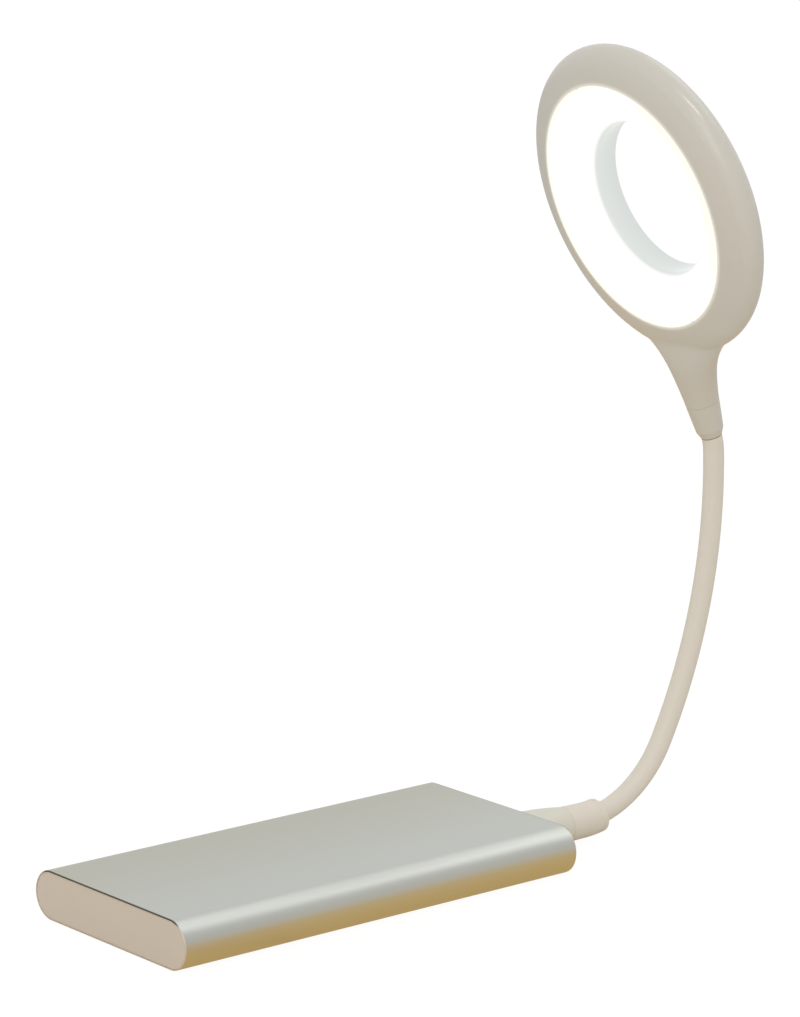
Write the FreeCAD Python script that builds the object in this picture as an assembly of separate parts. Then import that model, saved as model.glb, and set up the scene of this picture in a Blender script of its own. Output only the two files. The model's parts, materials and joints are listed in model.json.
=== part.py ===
import FreeCAD, Part
import math
import os

# A ring lamp on a bendable neck, plugged into the slim battery pack that carries it.
# Millimetres, +Z up. The origin is the middle of the pack's underside, and +X runs along the
# pack towards the end that the lamp is plugged into. Angles are in degrees.

Vec = FreeCAD.Vector

# Shared allowances
overrun = 1.0
seat_gap = 0.1
wire_gap = 0.05

# Pack shell and its two end caps
shell_wall = 1.0
shell_rim_wall = 0.4
shell_edge_break = 0.2
cap_plate = 2.0
cap_skirt_depth = 4.0
cap_skirt_wall = 1.2
cap_recess = 0.2
cap_clearance = 0.12
cap_plate_gap = 0.06

# Cell tray, cells, foam and tabs; the pack's length and height follow the cells
tray_floor = 0.8
tray_end_gap = 0.5
tray_rim = 1.0
tray_rim_height = 2.2
cell_length = 104.0
cell_height = 5.1
cell_corner = 2.5
cell_margin = 0.5
cell_end_room = 8.8
cell_side_room = 9.5
cell_top_room = 0.5
foam_thickness = 0.75
tab_width = 5.0
tab_thickness = 0.15
tab_spacing = 24.0
tab_reach = 3.0
tab_lap = 3.0

# Circuit board, its parts and its screws
board_length = 26.0
board_side_room = 7.0
board_thickness = 1.2
board_setback = 0.8
screw_shank_d = 1.6
screw_head_d = 3.0
screw_head_height = 0.8
screw_boss_d = 4.4
screw_inset = 2.8
screw_bite_share = 0.8
choke_side = 7.0
choke_height = 3.6
chip_side = 5.0
chip_height = 0.9
capacitor_d = 3.2
capacitor_height = 4.5
part_spacing = 9.0

# Output sockets, one each side of the charge lights; the lamp uses the one on -Y
socket_light_gap = 0.3
socket_drop = 0.6
socket_depth = 14.0
socket_sheet = 0.3
socket_back = 1.8
socket_window_clearance = 0.15
tongue_thickness = 1.5
tongue_side_gap = 0.2
tongue_length = 10.0
contact_count = 4
contact_pitch = 2.3
contact_width = 1.0
contact_thickness = 0.15
contact_gap = 0.05

# Charging socket, at the side of the row that sets the pack's width
charge_gap = 4.95
charge_inset = 4.0
charge_width = 8.9
charge_height = 3.2
charge_depth = 7.4
charge_sheet = 0.3
charge_tongue_width = 6.6
charge_tongue_thickness = 0.7
charge_back = 1.5

# Push button, its switch and the charge lights
button_width = 7.0
button_height = 4.0
button_proud = 0.7
button_flange = 0.7
button_flange_depth = 0.8
button_fit = 0.08
button_travel = 0.5
button_edge = 0.35
switch_side = 4.6
switch_height = 4.4
switch_stem_d = 1.8
switch_stem_fit = 0.05
switch_stem_hidden = 1.2
switch_front_gap = 1.0
light_count = 4
light_pitch = 1.9
light_side = 1.1
light_depth = 1.4
guide_d = 1.1

# Lamp plug
plug_width = 12.0
plug_thickness = 4.5
plug_sheet = 0.3
plug_reach = 11.75
plug_fit = 0.15
plug_tail = 5.0
plug_window_side = 2.4
plug_window_spacing = 5.0
plug_window_setback = 4.6
plug_face_gap = 0.3
housing_length = 18.1
housing_width = 17.0
housing_height = 11.6
housing_edge = 5.2
housing_wall = 1.2
housing_waist_share = 0.55
housing_waist_width_share = 0.8
plug_lead_run = 2.3
plug_board_width = 10.0
plug_board_thickness = 1.0

# Neck: sleeve, core wire, pair of wires and the blocks that anchor them
sleeve_d = 6.6
sleeve_wall = 0.8
core_d = 2.5
core_ball_swell = 0.1
core_ball_gap = 0.1
lead_d = 0.9
lead_offset = 1.95
anchor_length = 4.0
anchor_wall = 0.1
anchor_fit = 0.03
neck_joints = 9
neck_straight = 7.6
neck_base_radius = 38.0
neck_base_heading = 61.5
neck_long_radius = 175.0
neck_long_heading = 92.4
neck_top_radius = 18.3

# Collars at the two ends of the neck
lower_collar_d = 11.2
lower_collar_end_d = 10.8
lower_collar_length = 15.0
lower_collar_edge = 1.1
lower_collar_groove_inset = 2.4
lower_collar_groove_r = 0.45
lower_collar_groove_depth = 0.25
upper_collar_d = 10.7
upper_collar_end_d = 8.8
upper_collar_length = 11.2
upper_collar_edge = 1.0
upper_collar_edge_length = 2.2
collar_fit = 0.05
seam_break = 0.25

# Head: how it is turned on the neck, then the ring and its stalk
head_pitch = 18.06
head_turn = 4.77
head_roll = 3.37
ring_outer_d = 101.2
ring_rim_width = 10.9
ring_front_depth = 7.2
ring_rear_depth = 8.7
ring_face_width = 14.4
ring_tip_radius = 4.8
ring_wall = 1.6
lens_fit = 0.1
lens_thickness = 1.2
lens_flange = 2.6
lens_dish_share = 1.14
lens_rim_back = 0.15
lens_edge_radius = 0.5
lens_band_width = 14.8
hole_rear_lip = 0.2
stalk_length = 18.2
stalk_sink = 6.2
stalk_root_inset = 1.3
stalk_root_depth = 8.6
stalk_wall = 1.5
stalk_blend = 5.0
stalk_along_shares = (0, 0.19, 0.38, 0.58, 0.79, 1)
stalk_width_shares = (0, 0.08, 0.185, 0.345, 0.595, 1)
stalk_depth_shares = (0, -0.15, -0.22, 0.0, 0.28, 1)

# Light board, chips, resistors and screws in the head
light_board_rim_gap = 1.7
light_board_hole_gap = 1.4
light_board_thickness = 1.2
light_board_stand = 2.9
light_chip_count = 24
light_chip_length = 3.5
light_chip_width = 2.8
light_chip_height = 0.7
resistor_count = 4
resistor_angle = 22.5
resistor_length = 3.2
resistor_width = 1.6
resistor_height = 0.6
ring_screw_count = 3
ring_screw_shank_d = 1.6
ring_screw_head_d = 3.0
ring_screw_head_height = 0.7
ring_boss_d = 4.6
ring_screw_angle = 37.5
lead_bend_radius = 6.0


# Places that several pieces share
pack_length = (cell_length + cell_end_room + tab_reach + board_length + board_setback
               + 2 * (cap_plate + cap_recess))
pack_height = 2 * (shell_wall + cell_height + foam_thickness) + tray_floor + cell_top_room
pack_end = pack_length / 2
mid_height = pack_height / 2
cap_face = pack_end - cap_recess
cap_inside = cap_face - cap_plate
socket_z = mid_height - socket_drop
socket_width = plug_width + 2 * plug_fit + 2 * socket_sheet
light_row_width = (light_count - 1) * light_pitch + guide_d
socket_offset = light_row_width / 2 + socket_light_gap + socket_width / 2
charge_offset = socket_offset + socket_width / 2 + charge_gap + charge_width / 2
board_width = 2 * (charge_offset + charge_inset)
pack_width = board_width + 2 * board_side_room
cell_width = pack_width - 2 * cell_side_room
tray_width = cell_width + 2 * (cell_margin + tray_rim)
socket_height = plug_thickness + 2 * plug_fit + 2 * socket_sheet
board_top = socket_z - socket_height / 2
board_bottom = board_top - board_thickness
board_front = cap_inside - board_setback
board_rear = board_front - board_length
tray_top = shell_wall + tray_floor
cell_front = board_rear - tab_reach
cell_rear = cell_front - cell_length
plug_y = -socket_offset
housing_front = pack_end + plug_face_gap
seam_x = housing_front + housing_length
sleeve_r = sleeve_d / 2
sleeve_bore_r = sleeve_r - sleeve_wall
core_r = core_d / 2
lead_r = lead_d / 2
ball_r = core_r + core_ball_swell
cup_r = ball_r + core_ball_gap
anchor_r = sleeve_r + anchor_wall
ring_outer_r = ring_outer_d / 2
ring_crown_r = ring_outer_r - ring_face_width
lens_r = ring_outer_r - ring_rim_width
lens_dish = ring_front_depth * lens_dish_share
hole_r = lens_r - lens_band_width
skirt_r = hole_r + lens_thickness
light_board_outer_r = lens_r - light_board_rim_gap
light_board_inner_r = skirt_r + light_board_hole_gap
light_circle_r = (light_board_outer_r + light_board_inner_r) / 2
stalk_reach = stalk_length + stalk_sink
stalk_root_r = math.sqrt(ring_outer_r ** 2 - (ring_outer_r - stalk_sink) ** 2) - stalk_root_inset
ring_centre_z = upper_collar_length + stalk_length + ring_outer_r


# Simple solids

def slab(x0, x1, y0, y1, z0, z1):
    return Part.makeBox(x1 - x0, y1 - y0, z1 - z0, Vec(x0, y0, z0))


def middle_slab(x0, x1, middle_y, width, z0, z1):
    return slab(x0, x1, middle_y - width / 2, middle_y + width / 2, z0, z1)


def rod(base, along, diameter, length):
    return Part.makeCylinder(diameter / 2, length, base, along)


def line(a, b):
    return Part.LineSegment(a, b).toShape()


def arc(a, middle, b):
    return Part.Arc(a, middle, b).toShape()


def rounded_wire(x, width, height, radius, y, z):
    """Rounded rectangle square to X, its middle at y, z."""
    half_w = width / 2 - radius
    half_h = height / 2 - radius
    slant = radius * math.sqrt(0.5)
    corners = [(1, -1), (1, 1), (-1, 1), (-1, -1)]
    edges = []
    for n, (sy, sz) in enumerate(corners):
        centre = Vec(x, y + sy * half_w, z + sz * half_h)
        down = centre + Vec(0, 0, sz * radius)
        side = centre + Vec(0, sy * radius, 0)
        first, last = (down, side) if n % 2 == 0 else (side, down)
        edges.append(arc(first, centre + Vec(0, sy * slant, sz * slant), last))
        next_y, next_z = corners[(n + 1) % len(corners)]
        beyond = Vec(x, y + next_y * half_w, z + next_z * half_h)
        away = Vec(0, next_y * radius, 0) if n % 2 == 0 else Vec(0, 0, next_z * radius)
        edges.append(line(last, beyond + away))
    return Part.Wire(edges)


def rounded_prism(x0, x1, width, height, radius, y, z):
    face = Part.Face(rounded_wire(x0, width, height, radius, y, z))
    return face.extrude(Vec(x1 - x0, 0, 0))


def capsule_prism(x0, x1, width, height):
    """Flat bar with round long edges, along X, at the pack's middle height."""
    radius = height / 2
    flat = width / 2 - radius
    low, high = mid_height - radius, mid_height + radius
    edges = [
        line(Vec(x0, -flat, low), Vec(x0, flat, low)),
        arc(Vec(x0, flat, low), Vec(x0, flat + radius, mid_height), Vec(x0, flat, high)),
        line(Vec(x0, flat, high), Vec(x0, -flat, high)),
        arc(Vec(x0, -flat, high), Vec(x0, -flat - radius, mid_height), Vec(x0, -flat, low)),
    ]
    return Part.Face(Part.Wire(edges)).extrude(Vec(x1 - x0, 0, 0))


def inset_capsule(x0, x1, inset):
    """The pack's outline drawn in by inset."""
    return capsule_prism(x0, x1, pack_width - 2 * inset, pack_height - 2 * inset)


def turned(edges, axis_point, axis):
    return Part.Face(Part.Wire(edges)).revolve(axis_point, axis, 360)


def polygon(points):
    return [line(a, b) for a, b in zip(points, points[1:] + points[:1])]


# Pack shell and end caps

def pack_shell():
    outer = inset_capsule(-pack_end, pack_end, 0)
    rims = [e for e in outer.Edges if abs(abs(e.CenterOfMass.x) - pack_end) < seat_gap]
    shell = outer.makeChamfer(shell_edge_break, rims).cut(
        inset_capsule(-pack_end - overrun, pack_end + overrun, shell_wall))
    for side in (-1, 1):
        shell = shell.cut(inset_capsule(side * cap_inside, side * (pack_end + overrun), shell_rim_wall))
    return shell


def plain_cap(side):
    """Plate that sits in the rebate of the shell's mouth, with a skirt behind it.

    side is 1 at +X and -1 at -X.
    """
    inset = shell_wall + cap_clearance
    skirt_end = cap_inside - cap_skirt_depth
    plate = inset_capsule(side * cap_inside, side * cap_face, shell_rim_wall + cap_plate_gap)
    skirt = inset_capsule(side * skirt_end, side * cap_inside, inset)
    hollow = inset_capsule(side * (skirt_end - overrun), side * cap_inside, inset + cap_skirt_wall)
    return plate.fuse(skirt.cut(hollow)).removeSplitter()


def light_ys():
    return [(n - (light_count - 1) / 2) * light_pitch for n in range(light_count)]


def light_z():
    return board_top + seat_gap + guide_d / 2


def charge_z():
    return board_top + charge_height / 2


def button_y():
    return -charge_offset


def port_end_cap():
    cap = plain_cap(1)
    through = (cap_inside - overrun, cap_face + overrun)
    window = socket_width + 2 * socket_window_clearance
    window_h = socket_height + 2 * socket_window_clearance
    for y in (-socket_offset, socket_offset):
        z0 = socket_z - window_h / 2
        cap = cap.cut(middle_slab(*through, y, window, z0, z0 + window_h))
    charge_w = charge_width + 2 * socket_window_clearance
    charge_h = charge_height + 2 * socket_window_clearance
    cap = cap.cut(rounded_prism(*through, charge_w, charge_h, charge_h / 2 - wire_gap,
                                charge_offset, charge_z()))
    hole_w = button_width + 2 * button_fit
    hole_h = button_height + 2 * button_fit
    cap = cap.cut(rounded_prism(*through, hole_w, hole_h, hole_h / 2 - wire_gap,
                                button_y(), socket_z))
    for y in light_ys():
        base = Vec(through[0], y, light_z())
        cap = cap.cut(rod(base, Vec(1, 0, 0), guide_d + 2 * wire_gap, through[1] - through[0]))
    return cap


# Inside the pack

def board_screw_places():
    xs = (board_rear + screw_inset, board_front - screw_inset - cap_skirt_depth)
    side = board_width / 2 - screw_inset
    return [(xs[0], -side), (xs[0], side), (xs[1], 0)]


def cell_tray():
    tray_end = cap_inside - cap_skirt_depth - tray_end_gap
    tray = middle_slab(-tray_end, tray_end, 0, tray_width, shell_wall, tray_top)
    rim_top = tray_top + tray_rim_height
    frame = middle_slab(cell_rear - cell_margin - tray_rim, cell_front + cell_margin + tray_rim, 0,
                        tray_width, tray_top, rim_top)
    frame = frame.cut(middle_slab(cell_rear - cell_margin, cell_front + cell_margin, 0,
                                  cell_width + 2 * cell_margin, tray_top, rim_top))
    tray = tray.fuse(frame)
    for x, y in board_screw_places():
        boss = rod(Vec(x, y, tray_top), Vec(0, 0, 1), screw_boss_d, board_bottom - tray_top)
        tray = tray.fuse(boss)
    for x, y in board_screw_places():
        deep = (board_bottom - tray_top) * screw_bite_share
        hole = rod(Vec(x, y, board_bottom - deep), Vec(0, 0, 1),
                   screw_shank_d + 2 * wire_gap, deep + overrun)
        tray = tray.cut(hole)
    return tray.removeSplitter()


def pouch_cell(bottom):
    cell = middle_slab(cell_rear, cell_front, 0, cell_width, bottom, bottom + cell_height)
    upright = [e for e in cell.Edges if abs(e.tangentAt(e.FirstParameter).z) > math.sqrt(0.5)]
    return cell.makeFillet(cell_corner, upright)


def cell_bottoms():
    return tray_top, tray_top + cell_height + foam_thickness


def cell_foam():
    pads = []
    for bottom in cell_bottoms():
        top = bottom + cell_height
        pads.append(middle_slab(cell_rear + cell_corner, cell_front - cell_corner, 0,
                                cell_width - 2 * cell_corner, top, top + foam_thickness))
    return Part.makeCompound(pads)


def cell_tabs():
    """Lower strips run straight to the board; the upper ones step down to it."""
    strips = []
    board_end = board_rear + tab_lap
    turn = board_rear - tab_reach / 2
    upper_z = cell_bottoms()[1] + cell_height / 2
    for side in (-1, 1):
        low_y = side * tab_spacing / 2
        high_y = side * (tab_spacing / 2 - tab_width - tab_reach)
        strips.append(middle_slab(cell_front, board_end, low_y, tab_width,
                                  board_top, board_top + tab_thickness))
        strip = middle_slab(cell_front, turn, high_y, tab_width, upper_z, upper_z + tab_thickness)
        strip = strip.fuse(middle_slab(turn - tab_thickness, turn, high_y, tab_width,
                                       board_top, upper_z + tab_thickness))
        strip = strip.fuse(middle_slab(turn - tab_thickness, board_end, high_y, tab_width,
                                       board_top, board_top + tab_thickness))
        strips.append(strip.removeSplitter())
    return Part.makeCompound(strips)


def power_board():
    board = middle_slab(board_rear, board_front, 0, board_width, board_bottom, board_top)
    for x, y in board_screw_places():
        board = board.cut(rod(Vec(x, y, board_bottom - overrun), Vec(0, 0, 1),
                              screw_shank_d + 2 * wire_gap, board_thickness + 2 * overrun))
    return board


def board_screws():
    screws = []
    for x, y in board_screw_places():
        deep = (board_bottom - tray_top) * screw_bite_share - wire_gap
        shank = rod(Vec(x, y, board_bottom - deep), Vec(0, 0, 1), screw_shank_d,
                    deep + board_thickness)
        head = rod(Vec(x, y, board_top), Vec(0, 0, 1), screw_head_d, screw_head_height)
        screws.append(shank.fuse(head))
    return Part.makeCompound(screws)


def board_components():
    """A choke, the control chip and two capacitors, in a row behind the sockets."""
    x = (board_rear + tab_lap + cap_face - socket_depth) / 2
    choke = middle_slab(x - choke_side / 2, x + choke_side / 2, -2 * part_spacing, choke_side,
                        board_top, board_top + choke_height)
    chip = middle_slab(x - chip_side / 2, x + chip_side / 2, 2 * part_spacing, chip_side,
                       board_top, board_top + chip_height)
    cans = [rod(Vec(cap_face - socket_depth - capacitor_d, side * capacitor_d, board_top),
                Vec(0, 0, 1), capacitor_d, capacitor_height) for side in (-1, 1)]
    return Part.makeCompound([choke, chip] + cans)


def output_socket_shell(y):
    rear = cap_face - socket_depth
    z0 = socket_z - socket_height / 2
    outer = middle_slab(rear, cap_face, y, socket_width, z0, z0 + socket_height)
    inside = middle_slab(rear - overrun, cap_face + overrun, y, socket_width - 2 * socket_sheet,
                         z0 + socket_sheet, z0 + socket_height - socket_sheet)
    return outer.cut(inside)


def tongue_bottom():
    return socket_z + contact_thickness + contact_gap


def output_socket_tongue(y):
    rear = cap_face - socket_depth
    inside_w = socket_width - 2 * socket_sheet
    inside_h = socket_height - 2 * socket_sheet
    back = middle_slab(rear, rear + socket_back, y, inside_w,
                       socket_z - inside_h / 2, socket_z + inside_h / 2)
    wide = plug_width - 2 * plug_sheet - 2 * tongue_side_gap
    tongue = middle_slab(rear + socket_back, rear + socket_back + tongue_length, y, wide,
                         tongue_bottom(), tongue_bottom() + tongue_thickness)
    return back.fuse(tongue).removeSplitter()


def contact_ys(y):
    return [y + (n - (contact_count - 1) / 2) * contact_pitch for n in range(contact_count)]


def output_socket_contacts(y):
    start = cap_face - socket_depth + socket_back
    z1 = tongue_bottom()
    return Part.makeCompound([
        middle_slab(start, start + tongue_length - contact_width, at, contact_width,
                    z1 - contact_thickness, z1) for at in contact_ys(y)])


def charge_socket_shell():
    rear = cap_face - charge_depth
    outer = rounded_prism(rear, cap_face, charge_width, charge_height,
                          charge_height / 2 - wire_gap, charge_offset, charge_z())
    bore_h = charge_height - 2 * charge_sheet
    bore = rounded_prism(rear - overrun, cap_face + overrun, charge_width - 2 * charge_sheet, bore_h,
                         bore_h / 2 - wire_gap, charge_offset, charge_z())
    return outer.cut(bore)


def charge_socket_tongue():
    rear = cap_face - charge_depth
    bore_h = charge_height - 2 * charge_sheet
    back = rounded_prism(rear, rear + charge_back, charge_width - 2 * charge_sheet, bore_h,
                         bore_h / 2 - wire_gap, charge_offset, charge_z())
    half = charge_tongue_thickness / 2
    tongue = middle_slab(rear + charge_back, cap_face - charge_back, charge_offset,
                         charge_tongue_width, charge_z() - half, charge_z() + half)
    return back.fuse(tongue)


def button_flange_rear():
    return cap_inside - button_fit - button_flange_depth


def switch_front():
    return button_flange_rear() - switch_front_gap


def button_switch():
    front = switch_front()
    body = middle_slab(front - switch_side, front, button_y(), switch_side,
                       board_top, board_top + switch_height)
    bore = rod(Vec(front - switch_stem_hidden - button_travel - seat_gap, button_y(), socket_z),
               Vec(1, 0, 0), switch_stem_d + 2 * switch_stem_fit, switch_side)
    return body.cut(bore)


def switch_stem():
    start = switch_front() - switch_stem_hidden
    return rod(Vec(start, button_y(), socket_z), Vec(1, 0, 0), switch_stem_d,
               button_flange_rear() - start)


def pack_button():
    flange = rounded_prism(button_flange_rear(), cap_inside - button_fit,
                           button_width + 2 * button_flange, button_height + 2 * button_flange,
                           button_height / 2, button_y(), socket_z)
    cap = rounded_prism(cap_inside - button_fit, cap_face + button_proud, button_width, button_height,
                        button_height / 2 - wire_gap, button_y(), socket_z)
    front = [e for e in cap.Edges if abs(e.CenterOfMass.x - cap_face - button_proud) < wire_gap]
    return cap.makeFillet(button_edge, front).fuse(flange).removeSplitter()


def charge_lights():
    x1 = board_front - board_setback
    return Part.makeCompound([
        middle_slab(x1 - light_depth, x1, y, light_side, board_top, board_top + light_side)
        for y in light_ys()])


def light_guides():
    x0 = board_front - board_setback
    return Part.makeCompound([
        rod(Vec(x0, y, light_z()), Vec(1, 0, 0), guide_d, cap_face - x0) for y in light_ys()])


# Lamp plug

def plug_shell():
    tip = cap_face - plug_reach
    z0 = socket_z - plug_thickness / 2
    outer = middle_slab(tip, housing_front + plug_tail, plug_y, plug_width, z0, z0 + plug_thickness)
    bore = middle_slab(tip - overrun, housing_front + plug_tail + overrun, plug_y,
                       plug_width - 2 * plug_sheet, z0 + plug_sheet, z0 + plug_thickness - plug_sheet)
    shell = outer.cut(bore)
    x0 = tip + plug_window_setback
    for side in (-1, 1):
        y = plug_y + side * plug_window_spacing / 2
        shell = shell.cut(middle_slab(x0, x0 + plug_window_side, y, plug_window_side,
                                      z0 - overrun, z0 + plug_thickness + overrun))
    return shell


def plug_tongue_top():
    return socket_z - contact_thickness


def plug_tongue():
    z0 = socket_z - plug_thickness / 2 + plug_sheet
    return middle_slab(cap_face - plug_reach + plug_sheet, housing_front + plug_tail, plug_y,
                       plug_width - 2 * plug_sheet, z0, plug_tongue_top())


def plug_board_start():
    return housing_front + plug_tail


def plug_contacts():
    """Strips on the tongue, each running back on to the plug's own board."""
    start = cap_face - plug_reach + plug_fit + contact_width
    return Part.makeCompound([
        middle_slab(start, plug_board_start(), y, contact_width,
                    plug_tongue_top(), plug_tongue_top() + contact_thickness)
        for y in contact_ys(plug_y)])


def housing_loft(inset, front, rear):
    """Tapered paddle of the plug, drawn in by inset, between two stations along X."""
    waist_x = housing_front + housing_length * housing_waist_share
    waist_w = lower_collar_d + (housing_width - lower_collar_d) * housing_waist_width_share
    edge = housing_edge - inset
    sections = [
        rounded_wire(front, housing_width - 2 * inset, housing_height - 2 * inset, edge,
                     plug_y, socket_z),
        rounded_wire(waist_x, waist_w - 2 * inset, housing_height - 2 * inset, edge,
                     plug_y, socket_z),
        rounded_wire(rear, lower_collar_d - 2 * inset, lower_collar_d - 2 * inset,
                     lower_collar_d / 2 - inset - wire_gap, plug_y, socket_z),
    ]
    return Part.makeLoft(sections, True)


def neck_start():
    """Where the sleeve and the core's anchor meet, on the plug's axis."""
    return seam_x - housing_wall - seat_gap


def plug_housing():
    body = housing_loft(0, housing_front, seam_x)
    body = body.cut(housing_loft(housing_wall, housing_front + housing_wall, seam_x - housing_wall))
    z0 = socket_z - plug_thickness / 2 - wire_gap
    body = body.cut(middle_slab(housing_front - overrun, housing_front + plug_tail, plug_y,
                                plug_width + 2 * wire_gap, z0, z0 + plug_thickness + 2 * wire_gap))
    return body.cut(rod(Vec(neck_start() - anchor_length - seat_gap, plug_y, socket_z), Vec(1, 0, 0),
                        2 * anchor_r + 2 * seat_gap, anchor_length + housing_wall + overrun))


def housing_half(side):
    reach = housing_height
    x0, x1 = housing_front - overrun, seam_x + overrun
    z0 = socket_z - reach if side < 0 else socket_z
    half = middle_slab(x0, x1, plug_y, 2 * housing_width, z0, z0 + reach)
    return plug_housing().common(half)


def plug_board_end():
    return neck_start() - anchor_length - plug_lead_run


def plug_board():
    half = plug_board_thickness / 2
    return middle_slab(plug_board_start(), plug_board_end(), plug_y,
                       plug_board_width, socket_z - half, socket_z + half)


# Neck line: a straight run and tangent arcs

class Run:
    """A straight run, or an arc that turns from along to towards."""

    def __init__(self, start, along, towards, radius, length):
        self.start = start
        self.along = along
        self.towards = towards
        self.radius = radius
        self.length = length

    def point(self, s):
        if self.radius is None:
            return self.start + self.along * s
        turn = s / self.radius
        return (self.start + self.along * (self.radius * math.sin(turn))
                + self.towards * (self.radius * (1 - math.cos(turn))))

    def heading(self, s):
        if self.radius is None:
            return self.along
        turn = s / self.radius
        return self.along * math.cos(turn) + self.towards * math.sin(turn)

    def edge(self, s0, s1):
        if self.radius is None:
            return line(self.point(s0), self.point(s1))
        return arc(self.point(s0), self.point((s0 + s1) / 2), self.point(s1))


def head_rotation():
    """Pitch, turn and roll of the head; its own Z runs up the stalk and its X to the rear."""
    pitch = FreeCAD.Rotation(Vec(0, -1, 0), head_pitch)
    turn = FreeCAD.Rotation(Vec(0, 0, -1), head_turn)
    roll = FreeCAD.Rotation(Vec(-1, 0, 0), head_roll)
    return pitch.multiply(turn).multiply(roll)


def neck_runs():
    start = Vec(neck_start(), plug_y, socket_z)
    lead_in = seam_x + neck_straight - neck_start()
    runs = [Run(start, Vec(1, 0, 0), None, None, lead_in)]
    heading = 0
    for radius, reach in ((neck_base_radius, neck_base_heading), (neck_long_radius, neck_long_heading)):
        last = runs[-1]
        along = Vec(math.cos(math.radians(heading)), 0, math.sin(math.radians(heading)))
        towards = Vec(-along.z, 0, along.x)
        length = radius * math.radians(reach - heading)
        runs.append(Run(last.point(last.length), along, towards, radius, length))
        heading = reach
    last = runs[-1]
    along = last.heading(last.length)
    stalk = head_rotation().multVec(Vec(0, 0, 1))
    angle = along.getAngle(stalk)
    towards = (stalk - along * math.cos(angle)) * (1 / math.sin(angle))
    runs.append(Run(last.point(last.length), along, towards, neck_top_radius, neck_top_radius * angle))
    last = runs[-1]
    runs.append(Run(last.point(last.length), stalk, None, None, upper_collar_length + seat_gap))
    return runs


RUNS = neck_runs()
NECK_LENGTH = sum(run.length for run in RUNS)
MOUTH_TOP = NECK_LENGTH - RUNS[-1].length


def neck_run_at(s):
    for run in RUNS[:-1]:
        if s < run.length:
            return run, s
        s -= run.length
    return RUNS[-1], s


def neck_point(s):
    run, at = neck_run_at(s)
    return run.point(at)


def neck_heading(s):
    run, at = neck_run_at(s)
    return run.heading(at)


def neck_wire(s0, s1):
    edges = []
    passed = 0
    for run in RUNS:
        low, high = max(s0 - passed, 0), min(s1 - passed, run.length)
        if high > low:
            edges.append(run.edge(low, high))
        passed += run.length
    return Part.Wire(edges)


def neck_tube(s0, s1, diameter, aside=Vec(0, 0, 0)):
    """Round bar along the neck's line from s0 to s1, moved aside by a vector."""
    path = neck_wire(s0, s1)
    ring = Part.Circle(neck_point(s0), neck_heading(s0), diameter / 2).toShape()
    bar = path.makePipeShell([Part.Wire(ring)], True, False)
    bar.translate(aside)
    return bar


def mouth_low():
    """Where the neck leaves the lower collar."""
    return seam_x - neck_start() + lower_collar_length


def joint_places():
    pitch = (MOUTH_TOP - mouth_low()) / neck_joints
    return [mouth_low() + (n + 1 / 2) * pitch for n in range(neck_joints)]


def neck_sleeve():
    return neck_tube(0, NECK_LENGTH, sleeve_d).cut(neck_tube(0, NECK_LENGTH, 2 * sleeve_bore_r))


def lead_asides():
    return [Vec(0, side * lead_offset, 0) for side in (-1, 1)]


def neck_wires():
    return Part.makeCompound([neck_tube(0, MOUTH_TOP, lead_d, aside) for aside in lead_asides()])


def neck_core(n):
    """Length n of the core wire: a ball at its lower joint and a cup at its upper one."""
    places = joint_places()
    s0 = 0 if n == 0 else places[n - 1]
    s1 = NECK_LENGTH if n == neck_joints else places[n]
    core = neck_tube(s0, s1, core_d)
    if n == 0:
        tail = rod(neck_point(0) - Vec(anchor_length, 0, 0), Vec(1, 0, 0), core_d, anchor_length)
        core = core.fuse(tail).removeSplitter()
    else:
        core = core.fuse(Part.makeSphere(ball_r, neck_point(s0)))
    if n == neck_joints:
        up = neck_heading(NECK_LENGTH)
        return core.fuse(rod(neck_point(NECK_LENGTH), up, core_d, anchor_length)).removeSplitter()
    return core.cut(Part.makeSphere(cup_r, neck_point(s1)))


def anchor(base, along, asides):
    """Block that grips the core's end and lets the two leads through."""
    block = rod(base, along, 2 * anchor_r, anchor_length)
    start = base - along * overrun
    through = anchor_length + 2 * overrun
    block = block.cut(rod(start, along, core_d + 2 * anchor_fit, through))
    for aside in asides:
        block = block.cut(rod(start + aside, along, lead_d + 2 * wire_gap, through))
    return block


def lower_anchor():
    return anchor(neck_point(0) - Vec(anchor_length, 0, 0), Vec(1, 0, 0), lead_asides())


def plug_leads():
    """Two leads from the plug's board through the anchor to the neck's wires."""
    start = plug_board_end()
    return Part.makeCompound([
        rod(Vec(start, plug_y, socket_z) + aside, Vec(1, 0, 0), lead_d, neck_start() - start)
        for aside in lead_asides()])


def lower_collar():
    """Soft strain relief that follows the neck's line, thinner and rounded at its mouth."""
    s0 = seam_x - neck_start()
    s1 = mouth_low()
    path = neck_wire(s0, s1)
    first = Part.Circle(neck_point(s0), neck_heading(s0), lower_collar_d / 2).toShape()
    last = Part.Circle(neck_point(s1), neck_heading(s1), lower_collar_end_d / 2).toShape()
    body = path.makePipeShell([Part.Wire(first), Part.Wire(last)], True, False)
    end = neck_point(s1)
    lip = [e for e in body.Edges if e.CenterOfMass.distanceToPoint(end) < collar_fit]
    body = body.makeFillet(lower_collar_edge, lip)
    seam = [e for e in body.Edges if e.CenterOfMass.distanceToPoint(neck_point(s0)) < collar_fit]
    body = body.makeChamfer(seam_break, seam)
    s = s1 - lower_collar_groove_inset
    share = (s - s0) / lower_collar_length
    skin = lower_collar_d / 2 + share * (lower_collar_end_d - lower_collar_d) / 2
    sweep = skin + lower_collar_groove_r - lower_collar_groove_depth
    body = body.cut(Part.makeTorus(sweep, lower_collar_groove_r, neck_point(s), neck_heading(s)))
    return body.cut(neck_tube(0, s1 + overrun, sleeve_d + 2 * collar_fit))


# Head, built upright with the stalk along Z and the ring's rear towards +X

def head_placement():
    return FreeCAD.Placement(neck_point(MOUTH_TOP), head_rotation())


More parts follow.
